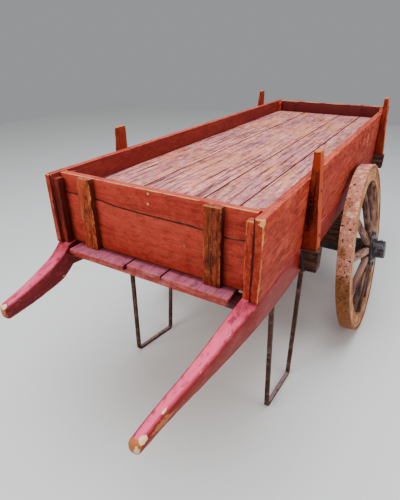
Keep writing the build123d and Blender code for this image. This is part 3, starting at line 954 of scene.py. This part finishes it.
hubIrons = {}
for sideName, side in sides:
    dress("felloes_" + sideName, makeWheelWood("felloe_wood_" + sideName, side, rimLook))
    dress("spokes_" + sideName, makeWheelWood("spoke_wood_" + sideName, side, spokeLook))
    dress("tyre_" + sideName, makeRust("tyre_rust_" + sideName, tyreLook, side))
    hubIrons[sideName] = makeRust("hub_iron_" + sideName, hubLook, side)
    for piece in ("hub_", "hub_cap_"):
        dress(piece + sideName, hubIrons[sideName])
legIron, axleIron = makeRust("leg_iron", legLook), makeRust("axle_iron", axleLook)
nailIron, brightIron = makeRust("nail_iron", headLook), makeRust("bright_nail_iron", brightLook)
for nodes, iron in ((("leg_left", "leg_right", "leg_plates"), legIron),
                    (("axle_bar", "axle_nuts", "axle_straps"), axleIron)):
    for node in nodes:
        dress(node, iron)
print("wheels and iron done")


# nails, bolts and other small iron

# radius and height of each head
headSizes = {
    "nail": (0.0036, 0.0010), "deckNail": (0.0030, 0.0009), "brightNail": (0.0045, 0.0012),
    "postNail": (0.006, 0.003), "bolt": (0.009, 0.006), "plateBolt": (0.0072, 0.0048),
    "capKnob": (0.010, 0.008),
}
headShape = {"inset": 0.35, "dome": 0.3, "shoulder": 0.7}
nailPlaces = {
    "cleatX": (-0.244, 0.243), "cleatZ": (1.030, 0.925, 0.835), "boardZ": (1.020, 0.925, 0.830),
    "boardY": 0.023, "postZ": (1.010, 0.850), "bright": ((0.009, 1.041), (0.006, 1.008)),
    "deckRows": 5, "deckEnd": 0.060,
    "deckX": (-0.350, -0.185, -0.140, 0.070, 0.112, 0.208, 0.250, 0.352), "jitter": 0.012,
}
boltPlaces = {
    "flangeCount": 6, "flangeReach": 0.082, "flangeFaces": (0.064, 0.016),
    "knobAlong": 0.098, "knobReach": 0.044,
    # leg plates: side and middle along the cart, and how far from that a bolt is; straps: down from their top
    "plateX": 0.381, "plates": ((1, 0.318), (1, 0.625), (-1, 0.320), (-1, 0.647)), "plateStep": 0.019,
    "strapX": 0.250, "strapDown": 0.018,
}
sunk = 0.0005                   # how deep a head sits in what carries it


def makeHead(name, corners, dome):
    # one head of radius 1 and height 1 on the origin, its top drawn in and rounded
    bpy.ops.object.select_all(action="DESELECT")
    bpy.ops.mesh.primitive_cylinder_add(vertices=corners, radius=1.0, depth=1.0, location=(0, 0, 0))
    head = bpy.context.active_object
    head.name = name
    bpy.ops.object.mode_set(mode="EDIT")
    bpy.ops.mesh.select_all(action="SELECT")
    bpy.ops.transform.translate(value=(0, 0, 0.5))
    bpy.ops.object.mode_set(mode="OBJECT")
    selectFaces(head.data, lambda face: face.normal.z > 0.9)
    bpy.ops.object.mode_set(mode="EDIT")
    bpy.ops.mesh.inset(thickness=headShape["inset"], depth=0.0)
    bpy.ops.transform.translate(value=(0, 0, dome))
    bpy.ops.object.mode_set(mode="OBJECT")
    for vertex in head.data.vertices:
        if 0.9 < vertex.co.z < 1.01 and dome:
            vertex.co.z = headShape["shoulder"]
    return head


def setHeads(master, rows, name, body, material):
    # rows: place, way out, kind of head
    copies = []
    for place, way, kind in rows:
        piece = master.copy()
        piece.data = master.data.copy()
        bpy.context.scene.collection.objects.link(piece)
        radius, high = headSizes[kind]
        turn = Vector(way).to_track_quat("Z", "Y").to_matrix().to_4x4()
        piece.data.transform(Matrix.Translation(place) @ turn @ Matrix.Diagonal((radius, radius, high, 1.0)))
        copies.append(piece)
    whole = finishPiece(joinPieces(copies, name), material)
    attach(whole, body)


nailHead, boltHead = makeHead("nailHead", 8, headShape["dome"]), makeHead("boltHead", 6, 0.0)
cleatFace = endPieces["cleat"][1][0]
boardNails, cartNails, deckNails = {}, [], []
for end, way in zip(ends, (-1, 1)):
    boardNails[end] = [((x, fromEnd(end, cleatFace), z), (0, way, 0), "nail")
                       for x in nailPlaces["cleatX"] for z in nailPlaces["cleatZ"]]
    cartNails += [((side * outer, fromEnd(end, nailPlaces["boardY"]), z), (side, 0, 0), "nail")
                  for sideName, side in sides for z in nailPlaces["boardZ"]]
postLow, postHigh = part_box("post_front_right")
foot, top = cart["postOut"]
for end, y, sideName, side in posts:
    for z in nailPlaces["postZ"]:
        slope = (z - postLow[2]) / (postHigh[2] - postLow[2])
        x = outer + foot + (top - foot) * slope - sunk
        cartNails.append(((side * x, alongCart(y), z), (side, 0, 0.12), "postNail"))
deckLow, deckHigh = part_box("deck_plank_1")
firstY, lastY = deckLow[1] + nailPlaces["deckEnd"], deckHigh[1] - nailPlaces["deckEnd"]
for k in range(nailPlaces["deckRows"]):
    y = firstY + (lastY - firstY) * k / (nailPlaces["deckRows"] - 1)
    for x in nailPlaces["deckX"]:
        jitter = (dice.random() - 0.5) * nailPlaces["jitter"]
        deckNails.append(((x + jitter, y + jitter, cart["deckZ"] - 0.0003), (0, 0, 1), "deckNail"))
brightNails = [((x, alongCart(frontFace), z), (0, -1, 0), "brightNail") for x, z in nailPlaces["bright"]]
setHeads(nailHead, boardNails["front"], "front_board_nails", "front_board", nailIron)
setHeads(nailHead, brightNails, "front_board_bright_nails", "front_board", brightIron)
setHeads(nailHead, boardNails["rear"], "rear_board_nails", "rear_board", nailIron)
setHeads(nailHead, cartNails, "cart_nails", "cart", nailIron)
setHeads(nailHead, deckNails, "deck_nails", "cart", axleIron)

for sideName, side in sides:
    lean = Matrix.Rotation(-side * cart["lean"], 3, "Y")
    hubMiddle = Vector((side * cart["wheelX"], cart["wheelY"], cart["wheelZ"]))
    outFace, inFace = boltPlaces["flangeFaces"]
    reach, count = boltPlaces["flangeReach"], boltPlaces["flangeCount"]
    rows = []
    for along, way in ((outFace - sunk, side), (inFace + sunk, -side)):
        for k in range(count):
            angle = 2 * pi * (k + 0.25) / count
            place = Vector((side * along, reach * cos(angle), reach * sin(angle)))
            rows.append((lean @ place + hubMiddle, lean @ Vector((way, 0, 0)), "bolt"))
    knob = Vector((side * boltPlaces["knobAlong"], 0, boltPlaces["knobReach"]))
    rows.append((lean @ knob + hubMiddle, lean @ Vector((0, 0, 1)), "capKnob"))
    setHeads(boltHead, rows, "hub_bolts_" + sideName, "wheel_" + sideName, hubIrons[sideName])

# bolt heads under the leg plates, and through the axle straps
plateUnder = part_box("leg_plates")[0][2] + sunk
strapLow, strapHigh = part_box("axle_straps")
strapZ = strapHigh[2] - boltPlaces["strapDown"]
frameBolts = [((side * boltPlaces["plateX"], alongCart(y) + way * boltPlaces["plateStep"], plateUnder),
               (0, 0, -1), "plateBolt") for side, y in boltPlaces["plates"] for way in (-1, 1)]
frameBolts += [((side * boltPlaces["strapX"], y - way * sunk, strapZ), (0, way, 0), "bolt")
               for sideName, side in sides for y, way in ((strapLow[1], -1), (strapHigh[1], 1))]
setHeads(boltHead, frameBolts, "frame_bolts", "cart", axleIron)
for spare in (nailHead, boltHead):
    bpy.data.objects.remove(spare)

# a hoop of iron rod that ties each end of the front bolster to its sill: upper bends as across and height,
# then how far out it is beside and under the bolster, and the size of its lower corners
hoopShape = {
    "radius": 0.0036, "clear": 0.0003, "bends": [(0.4035, 0.780), (0.4095, 0.772), (0.414, 0.745)],
    "lowX": (0.422, 0.423), "corner": (0.004, 0.006)}


def makeRod(name, points, radius, body, material):
    # a bent rod along the points, as a curve with thickness that is then made a mesh
    line = bpy.data.curves.new(name, "CURVE")
    line.dimensions = "3D"
    line.bevel_depth = radius
    line.bevel_resolution = 2
    line.use_fill_caps = True
    strand = line.splines.new("POLY")
    strand.points.add(len(points) - 1)
    for point, place in zip(strand.points, points):
        point.co = (*place, 1.0)
    rod = bpy.data.objects.new(name, line)
    bpy.context.scene.collection.objects.link(rod)
    pickOnly(rod)
    bpy.ops.object.convert(target="MESH")
    rod = finishPiece(bpy.context.active_object, material, angle=50)
    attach(rod, body)


hoopLow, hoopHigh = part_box("bolster_front")
gap = hoopShape["radius"] + hoopShape["clear"]
frontY, rearY, under = hoopLow[1] - gap, hoopHigh[1] + gap, hoopLow[2] - gap
cornerY, cornerZ = hoopShape["corner"]
besideX, underX = hoopShape["lowX"]
bends = hoopShape["bends"] + [(besideX, under + cornerZ)]
hoop = [(x, frontY, z) for x, z in bends] + [(underX, frontY + cornerY, under)]
hoop += [(underX, rearY - cornerY, under)] + [(x, rearY, z) for x, z in reversed(bends)]
for sideName, side in sides:
    makeRod("bolster_hoop_" + sideName, [(side * x, y, z) for x, y, z in hoop], hoopShape["radius"], "cart",
            axleIron)
print("small iron done")


# floor, light, camera

stageSettings = {
    "size": 14.0, "tone": (0.80, 0.79, 0.77), "rough": 0.9, "sky": (0.95, 0.97, 1.0), "skyPower": 0.34}

# name, place, aim, size, power, tone
panels = [
    ("skyPanel", (0.2, -0.2, 4.6), (0.0, 0.1, 0.9), 3.4, 262.0, (0.86, 0.93, 1.0)),
    ("keyPanel", (-1.6, -4.2, 3.4), (0.0, 0.0, 0.8), 2.2, 120.0, (1.0, 0.97, 0.92)),
    ("fillPanel", (4.2, -0.6, 2.4), (0.0, 0.0, 0.7), 2.6, 70.0, (1.0, 0.97, 0.92)),
]


def makeFloor():
    bpy.ops.object.select_all(action="DESELECT")
    bpy.ops.mesh.primitive_plane_add(size=stageSettings["size"], location=(0, 0, 0))
    floor = bpy.context.active_object
    floor.name = "studio_floor"
    material, shader = startMaterial("studio_floor_paint")
    shader.inputs["Base Color"].default_value = (*stageSettings["tone"], 1.0)
    shader.inputs["Roughness"].default_value = stageSettings["rough"]
    floor.data.materials.append(material)


def makeLights():
    world = bpy.data.worlds.new("studioSky")
    bpy.context.scene.world = world
    world.use_nodes = True
    sky = world.node_tree.nodes["Background"]
    sky.inputs["Color"].default_value = (*stageSettings["sky"], 1.0)
    sky.inputs["Strength"].default_value = stageSettings["skyPower"]
    for name, place, aim, size, power, tone in panels:
        data = bpy.data.lights.new(name, "AREA")
        data.shape = "SQUARE"
        data.size = size
        data.energy = power
        data.color = tone
        lamp = bpy.data.objects.new(name, data)
        lamp.location = place
        lamp.rotation_euler = (Vector(aim) - Vector(place)).to_track_quat("-Z", "Y").to_euler()
        bpy.context.scene.collection.objects.link(lamp)


# the photograph's own viewing point, from the cart's edges
cameraSettings = {
    "place": (0.71475, -1.75419, 1.44337), "pitch": radians(61.988), "yaw": radians(30.64), "roll": -0.0052,
    "lens": 27.958, "sensor": 36.0, "nearest": 0.05,
}


def makeCamera():
    data = bpy.data.cameras.new("photoCamera")
    data.lens = cameraSettings["lens"]
    data.sensor_width = cameraSettings["sensor"]
    data.clip_start = cameraSettings["nearest"]
    camera = bpy.data.objects.new("photoCamera", data)
    turn = Euler((cameraSettings["pitch"], 0, cameraSettings["yaw"])).to_matrix()
    camera.rotation_euler = (turn @ Matrix.Rotation(cameraSettings["roll"], 3, "Z")).to_euler()
    camera.location = cameraSettings["place"]
    bpy.context.scene.collection.objects.link(camera)
    bpy.context.scene.camera = camera


makeFloor()
makeLights()
makeCamera()
print("stage done")
